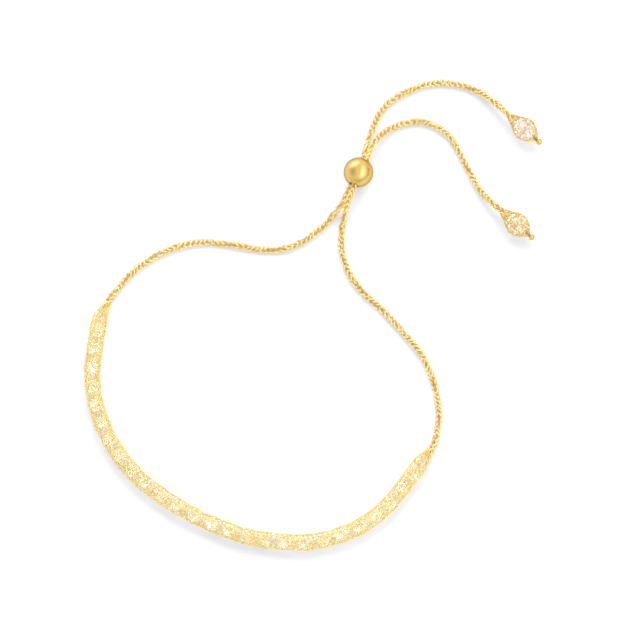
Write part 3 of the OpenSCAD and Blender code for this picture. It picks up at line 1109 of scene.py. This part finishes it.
@dataclass
class EndCage:
    """The knit opened out round one larger stone, gathered at its tip to a small ball.

    Attributes:
        name: upper or lower.
        place: Middle of the cage, over the floor.
        turn: The way that the tip points, in degrees from X.
        length: Length from neck to tip.
        radius: Outer radius of the knit over the stone.
        neck_radius: Middle radius of the knit at its neck.
        tip_radius: Middle radius of the knit at its tip.
        middle_z: Height of its middle line.
        stone_width: Diameter of the stone.
        lean: Degrees that the stone leans about X and about Y.
        bead_d: Diameter of the ball at the tip.
        bead_neck_d: Diameter of its neck.
        bead_steps: Faces from the ball's pole to its neck.
        bead_sides: Faces round the ball.
        neck_rings: Where the neck has corners, as shares of its reach from the ball's middle.
        fit: Gap between cage and ball.
        neck: How far the ball's neck goes into the cage, and the cord into its other end.
        seat: How far the stone sits towards the tip, as a share of half the length.
        knot: Length of the turns of wire at the tip.
        knot_steps: Steps of wire in them.
        knot_turn: Steps in one turn.
        knot_painted_shade: Share of painted shade on their wire.
        outline: Places along the cage, from neck -1 to tip 1, and their share of its full width.
        knit: How it is knitted.
    """

    name: str
    place: tuple[float, float]
    turn: float = -42.0
    length: float = 6.2 * MM
    radius: float = 1.98 * MM
    neck_radius: float = 0.5 * MM
    tip_radius: float = 0.3 * MM
    middle_z: float = 1.985 * MM
    stone_width: float = 3.4 * MM
    lean: tuple[float, float] = (14.0, 10.0)
    bead_d: float = 1.0 * MM
    bead_neck_d: float = 0.5 * MM
    bead_steps: int = 14
    bead_sides: int = 32
    neck_rings: tuple[float, float] = (0.75, 1.0)
    fit: float = 0.05 * MM
    neck: float = 0.8 * MM
    seat: float = 0.07
    knot: float = 0.7 * MM
    knot_steps: int = 64
    knot_turn: int = 12
    knot_painted_shade: float = 0.5
    outline: Route = (
        (-1, 0), (-0.9, 0.04), (-0.7, 0.2), (-0.5, 0.43), (-0.3, 0.7), (-0.1, 0.92), (0.08, 1),
        (0.25, 0.96), (0.42, 0.86), (0.6, 0.66), (0.78, 0.36), (0.92, 0.08), (1, 0),
    )
    knit: Knit = Knit(
        wales=8, course=1.0 * MM, loop=1.8 * MM, wire_d=0.1 * MM, weave=0.1 * MM,
        overhang=0.22, wander=0.3, parting=0.4, painted_shade=0.6, strands=2, spacing=0.15 * MM)

    def point(self, s: float) -> Vector:
        """Point on the middle line, at a length from the middle of the cage."""
        return Vector((*self.place, self.middle_z)) + s * towards(self.turn, 0)

    def radius_at(self, s: float) -> float:
        """Middle radius of the knit, which follows the outline.

        Args:
            s: Length along the cage from its neck's end.

        Returns:
            The radius.
        """
        half = self.length / 2
        place = min(max((s - half) / half, -1.0), 1.0)
        full = self.radius - self.knit.weave - self.knit.wire_d / 2
        k = next(i for i in range(1, len(self.outline)) if place <= self.outline[i][0])
        (a, low), (b, high) = self.outline[k - 1], self.outline[k]
        least = self.neck_radius if place < 0 else self.tip_radius
        return mix(least, full, mix(low, high, (place - a) / (b - a)))

    def build(self, wire: bpy.types.Material, gold: bpy.types.Material,
              clear: bpy.types.Material) -> list[bpy.types.Object]:
        """Knits the cage and sets its stone and its tip.

        Args:
            wire: The knit's material.
            gold: The tip bead's material.
            clear: The stone's material.

        Returns:
            The pieces at the cord's free end: cage, stone and tip.
        """
        half = self.length / 2
        line = Line([self.point(-half), self.point(half)])
        work = WireWork(f"knitted_cage_{self.name}", self.knit.wire_d, self.knit.sides)
        self.knit.tube(work, line, 0.0, self.length, self.radius_at)
        wrap = [line.stand(self.length - self.knot * (1 - n / self.knot_steps)).round(
            self.tip_radius + self.knit.weave * math.sin(n), FULL_TURN * n / self.knot_turn)
            for n in range(self.knot_steps + 1)]
        # The turns at the tip take painted shade at that share
        work.ring([Vector((*place, self.knot_painted_shade)) for place in wrap], closed=False)
        cage = dress(work.piece(), wire, Slot.KNIT, f"cage_{self.name}")
        return [cage, self._stone(clear), self._bead(gold)]

    def _stone(self, clear: bpy.types.Material) -> bpy.types.Object:
        """Cuts the cage's stone.

        Args:
            clear: Its material.

        Returns:
            The stone.
        """
        shape = bmesh.new()
        place = placed(self.point(self.seat * self.length / 2), self.turn, self.lean)
        Brilliant(self.stone_width).cut(shape, place)
        return set_clear(piece_from(f"end_brilliant_{self.name}", shape, False), clear,
                         f"end_stone_{self.name}")

    def _bead(self, gold: bpy.types.Material) -> bpy.types.Object:
        """Turns the small ball on its neck.

        Args:
            gold: Its material.

        Returns:
            The ball.
        """
        shape = bmesh.new()
        r = self.bead_d / 2
        reach = r + self.fit + self.neck
        # Half its outline: an arc from the pole to the neck, then down the neck to its middle
        pole = bmesh.ops.create_vert(shape, co=(0, 0, r))["vert"]
        waist = math.pi - math.asin(self.bead_neck_d / self.bead_d)
        arc = bmesh.ops.spin(shape, geom=pole, cent=(0, 0, 0), axis=(0, 1, 0), angle=waist,
                             steps=self.bead_steps, use_duplicate=False)
        end = [g for g in arc["geom_last"] if isinstance(g, bmesh.types.BMVert)]
        for share in self.neck_rings:
            end = bmesh.ops.extrude_vert_indiv(shape, verts=end)["verts"]
            end[0].co = (self.bead_neck_d / 2, 0, -reach * share)
        end = bmesh.ops.extrude_vert_indiv(shape, verts=end)["verts"]
        end[0].co = (0, 0, -reach)
        bmesh.ops.spin(shape, geom=shape.verts[:] + shape.edges[:], cent=(0, 0, 0),
                       axis=(0, 0, 1), angle=FULL_TURN, steps=self.bead_sides, use_merge=True,
                       use_duplicate=False)
        bmesh.ops.remove_doubles(shape, verts=shape.verts, dist=WELD)
        place = placed(self.point(self.length / 2 + r + self.fit), self.turn, LAID)
        bmesh.ops.transform(shape, matrix=place, verts=shape.verts)
        return dress(piece_from(f"tip_ball_{self.name}", shape, True), gold, Slot.POLISHED,
                     f"tip_bead_{self.name}")


@dataclass
class KnittedCord:
    """The knitted tube drawn down to a cord, from the sleeve through the ball to its cage.

    Attributes:
        side: Left or right cord.
        loop: Its route from the sleeve to the ball.
        tail: Its route from the ball towards the cage.
        end: Its route as it rises to the cage.
        sleeve: The sleeve that it comes from.
        slider: The ball that it goes through.
        cage: The cage at its end.
        radius: Outer radius of the cord where it is free.
        middle_z: Height of its middle line on the floor.
        lead: Length that is straight at the sleeve and at the cage.
        slack: How far the knit keeps inside the radius.
        knit: How it is knitted.
        core_strands: Wires in the core, painted in full shade.
        core_share: How far they are from the middle line, as a share of the radius.
        core_twist: Turns of the core to a metre.
        core_step: Straight steps of its wires, and of the path.
    """

    side: Side
    loop: Route
    tail: Route
    end: Route
    sleeve: KnittedSleeve
    slider: BallSlider
    cage: EndCage
    radius: float = 0.53 * MM
    middle_z: float = 0.508 * MM
    lead: float = 0.8 * MM
    slack: float = 0.03 * MM
    knit: Knit = Knit(
        wales=2, course=0.85 * MM, loop=1.35 * MM, wire_d=0.125 * MM, weave=0.15 * MM,
        overhang=0.3, twist=46.0, wander=0.4, painted_shade=0.7, strands=2, spacing=0.17 * MM,
        steps=14, sides=6)
    core_strands: int = 7
    core_share: float = 0.42
    core_twist: float = 90.0
    core_step: float = 0.5 * MM

    def _near_slider(self, points: Route) -> list[Vector]:
        """Points that rise to the slider, which squeezes the cord.

        Args:
            points: A route.

        Returns:
            Its points, and as a fourth number the cord's radius there.
        """
        bore_z = self.slider.in_bore(self.side, 0).z
        return [Vector((x * MM, y * MM, mix(self.middle_z, bore_z, rise),
                        mix(self.radius, self.slider.squeezed, rise * rise)))
                for x, y, rise in points]

    def line(self) -> Line:
        """Lays the cord's line, whose fourth number is its radius.

        Returns:
            The line, from the sleeve's neck to the cage's neck.
        """
        out = self.side.value
        body = self.sleeve.line
        s = 0.0 if self.side is Side.LEFT else body.length
        neck = self.sleeve.neck
        mouth, way = body.at(s).xyz, out * body.stand(s - out * neck / 2).way
        start = body.at(s - out * neck).xyz
        points = [Vector((*p, self.radius)) for p in (start, mouth, mouth + self.lead * way)]
        points += self._near_slider(self.loop)
        points += [Vector((*self.slider.in_bore(self.side, gone), self.slider.squeezed))
                   for gone in (-self.slider.run, self.slider.run)]
        points += self._near_slider(self.tail)
        points += [Vector((x * MM, y * MM, mix(self.middle_z, self.cage.middle_z, rise),
                           self.radius)) for x, y, rise in self.end]
        half = self.cage.length / 2
        points += [Vector((*self.cage.point(gone - half), self.radius))
                   for gone in (-self.lead, 0.0, self.cage.neck)]
        return Line(points, steps=8)

    def build(self, finish: bpy.types.Material, carried: list[bpy.types.Object]) -> None:
        """Args:
            finish: Its material.
            carried: The pieces at its free end. It is not used.
        """
        line = self.line()
        name = self.side.name.lower()
        work = WireWork(f"knitted_cord_{name}", self.knit.wire_d, self.knit.sides)
        edge = self.knit.wire_d / 2 + self.slack
        courses = self.knit.tube(work, line, 0.0, line.length, lambda s: line.at(s).w - edge)
        steps = round(line.length / self.core_step)
        # The core's wires take full painted shade, for the dark inside of the cord
        for strand in range(self.core_strands):
            points = []
            for n in range(steps + 1):
                s = line.length * n / steps
                turn = FULL_TURN * (strand / self.core_strands + self.core_twist * s)
                place = line.stand(s).round(line.at(s).w * self.core_share, turn)
                points.append(Vector((*place, 1.0)))
            work.ring(points, closed=False)
        log.info("cord %s: %.1f mm, %d courses", name, line.length / MM, courses)
        piece = dress(work.piece(), finish, Slot.KNIT, f"cord_{name}")
        path = [line.at(line.length * n / steps).xyz for n in range(steps + 1)]


# ---- Studio ---------------------------------------------------------------------------------


@dataclass(frozen=True)
class Patch:
    """One soft patch on the inside of the tent.

    Attributes:
        azimuth: Degrees from +X, turning towards +Y.
        height: Degrees above the floor.
        wide: Degrees from its middle to its edge, level.
        high: The same, upwards.
        gain: What it adds to the tent's brightness, less than 0 where it is darker.
    """

    azimuth: float
    height: float
    wide: float
    high: float
    gain: float


@dataclass(frozen=True)
class Tent:
    """White tent that only metal and stones see, for the soft bands on polished gold.

    Attributes:
        radius: Its radius.
        level: How bright its inside is.
        patches: Where it is brighter and darker.
    """

    radius: float = 4.0
    level: float = 1.2
    patches: tuple[Patch, ...] = (
        Patch(117, 22, 42, 28, 1.75),
        Patch(352, 52, 75, 28, 1.15),
        Patch(183, 46, 56, 44, -0.5),
        Patch(275, 8, 80, 24, -0.45),
        Patch(5, 6, 60, 14, -0.55),
    )

    def material(self) -> bpy.types.Material:
        """Makes the glow of its inside.

        Returns:
            The material.
        """
        nodes = Nodes("tent_cloth")
        nodes.set(Base_Color=(0, 0, 0, 1), Specular_IOR_Level=0.0, Emission_Color=(1, 1, 1, 1))
        glow = nodes.value(self.level)
        for patch in self.patches:
            middle = towards(patch.azimuth, patch.height)
            spot = nodes.patch(middle * self.radius, middle.to_track_quat("Z", "Y").to_euler(),
                               (self.radius * math.radians(patch.wide),
                                self.radius * math.radians(patch.high), self.radius))
            glow = nodes.math("MULTIPLY_ADD", spot, patch.gain, glow)
        nodes.link(glow, "Emission Strength")
        return nodes.material

    def hang(self) -> None:
        """Puts up the tent."""
        shape = bmesh.new()
        bmesh.ops.create_uvsphere(shape, u_segments=48, v_segments=24, radius=self.radius)
        bmesh.ops.bisect_plane(shape, geom=shape.verts[:] + shape.edges[:] + shape.faces[:],
                               plane_co=(0, 0, 0), plane_no=(0, 0, -1), clear_outer=True)
        tent = piece_from("tent", shape, True)
        tent.data.materials.append(self.material())
        tent.visible_camera = tent.visible_diffuse = tent.visible_shadow = False


@dataclass(frozen=True)
class SoftBox:
    """One soft light that faces the middle of the scene.

    Attributes:
        name: Its name.
        azimuth: Degrees from +X, turning towards +Y.
        height: Degrees above the floor.
        far: Distance from the middle of the scene.
        size: Its width and height.
        radiance: How bright its face is.
    """

    name: str
    azimuth: float
    height: float
    far: float
    size: tuple[float, float]
    radiance: float

    def hang(self) -> None:
        """Adds the light to the scene."""
        lamp = bpy.data.lights.new(self.name, "AREA")
        lamp.shape = "RECTANGLE"
        lamp.size, lamp.size_y = self.size
        lamp.energy = self.radiance * math.pi * self.size[0] * self.size[1]
        light = bpy.data.objects.new(self.name, lamp)
        way = towards(self.azimuth, self.height)
        light.location = way * self.far
        light.rotation_euler = way.to_track_quat("Z", "Y").to_euler()
        light.visible_glossy = False
        bpy.context.scene.collection.objects.link(light)


@dataclass(frozen=True)
class Studio:
    """Pale floor, soft lights and the camera at the photograph's angle.

    Attributes:
        elevation: Degrees from the floor up to the camera.
        lens: The camera's focal length, in mm.
        frame_width: Width of what it takes in at the middle of the scene.
        aim: The point that it looks at.
        sky: Strength of the even light from all round.
        exposure: Brightening of the picture, in stops.
        floor_size: Width of the floor.
        bounces: How often light may go through stones and off metal.
        tent: What polished metal mirrors.
        lights: The soft lights.
    """

    elevation: float = 78.0
    lens: float = 1000.0
    frame_width: float = 105.84 * MM
    aim: tuple[float, float, float] = (0.504 * MM, 0.0, 0.0)
    sky: float = 0.65
    exposure: float = -0.02
    floor_size: float = 10.0
    bounces: int = 24
    tent: Tent = Tent()
    lights: tuple[SoftBox, ...] = (
        SoftBox("key_from_top", 95, 47, 3.0, (2.6, 2.2), 4.56),
        SoftBox("side_right", 20, 45, 3.0, (1.8, 1.6), 3.0),
    )

    def floor(self, finish: bpy.types.Material) -> None:
        """Lays the floor.

        Args:
            finish: Its material.
        """
        shape = bmesh.new()
        bmesh.ops.create_grid(shape, x_segments=4, y_segments=4, size=self.floor_size / 2)
        board = piece_from("floor", shape, False)
        board.data.materials.append(finish)

    def camera(self) -> None:
        """Sets the camera."""
        data = bpy.data.cameras.new("camera")
        data.lens = self.lens
        tilt = math.radians(self.elevation)
        back = Vector((0, -math.cos(tilt), math.sin(tilt)))
        far = self.frame_width * self.lens / data.sensor_width
        camera = bpy.data.objects.new("camera", data)
        camera.location = Vector(self.aim) + back * far
        camera.rotation_euler = (-back).to_track_quat("-Z", "Y").to_euler()
        data.clip_start, data.clip_end = 0.01, 50
        bpy.context.scene.collection.objects.link(camera)
        bpy.context.scene.camera = camera

    def light(self) -> None:
        """Lights the scene."""
        scene = bpy.context.scene
        world = bpy.data.worlds.new("soft_sky")
        world.use_nodes = True
        sky = world.node_tree.nodes["Background"].inputs
        sky["Color"].default_value = (1, 1, 1, 1)
        sky["Strength"].default_value = self.sky
        scene.world = world
        self.tent.hang()
        for light in self.lights:
            light.hang()
        scene.view_settings.view_transform = "Standard"
        scene.view_settings.look = "None"
        scene.view_settings.exposure = self.exposure
        scene.cycles.max_bounces = scene.cycles.transmission_bounces = self.bounces
        scene.cycles.glossy_bounces = self.bounces


# ---- The whole bracelet ---------------------------------------------------------------------


def main() -> None:
    """Builds every piece in order and sets the studio."""
    logging.basicConfig(level=logging.INFO, format="%(name)s %(message)s")
    noise.seed_set(SEED)
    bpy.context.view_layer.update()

    wire = KnittedGold().material()
    # A darker copy of the same gold wire: painted shade on the cages
    shaded_cage_wire = KnittedGold("gold_wire_painted_shade", bright=(0.97, 0.76, 0.3), deep=(0.86, 0.6, 0.17),
                            painted_shade_colour=(0.58, 0.37, 0.09)).material()
    # A paler, brighter copy of the same gold wire: painted light on the cords
    lit_cord_wire = KnittedGold("gold_wire_painted_light", bright=(1.0, 0.88, 0.46),
                            deep=(1.0, 0.79, 0.31), painted_shade_colour=(0.8, 0.57, 0.22)).material()
    gold = PolishedGold().material()
    # Cream in both colours: painted reflection of the gold wire in the sleeve's stones
    small_stone = ClearStone(pale=(1.0, 0.95, 0.82), painted_tint=(0.97, 0.91, 0.81)).material()
    # Lilac clouds: painted fire and dark glints in the upper end stone
    fire_painted_stone = ClearStone("clear_end_stone", painted_tint=(0.71, 0.65, 0.86), bending=2.15,
                             clear=1.0).material()
    # Cream in both colours: painted reflection of the gold wire in the lower end stone
    painted_reflection_stone = ClearStone("clear_stone_painted_reflection", pale=(1.0, 0.95, 0.78),
                            painted_tint=(0.92, 0.84, 0.74), bending=2.15, clear=1.0).material()
    rubber = GripRubber().material()

    studio = Studio()
    studio.camera()
    studio.light()
    studio.floor(PaleFloor().material())

    sleeve = KnittedSleeve()
    sleeve.build(wire)
    StoneRow().build(sleeve, small_stone)

    slider = BallSlider()
    slider.build(gold, rubber)

    upper = EndCage("upper", (35.5 * MM, 31.8 * MM))
    lower = EndCage("lower", (34.2 * MM, 15.4 * MM), knit=replace(EndCage.knit, parting=0.1))
    left = KnittedCord(Side.LEFT, LEFT_LOOP, UPPER_TAIL, UPPER_END, sleeve, slider, upper)
    right = KnittedCord(Side.RIGHT, RIGHT_LOOP, LOWER_TAIL, LOWER_END, sleeve, slider, lower)
    for cord, stone in ((left, fire_painted_stone), (right, painted_reflection_stone)):
        cord.build(lit_cord_wire, cord.cage.build(shaded_cage_wire, gold, stone))


if __name__ == "__main__":
    main()
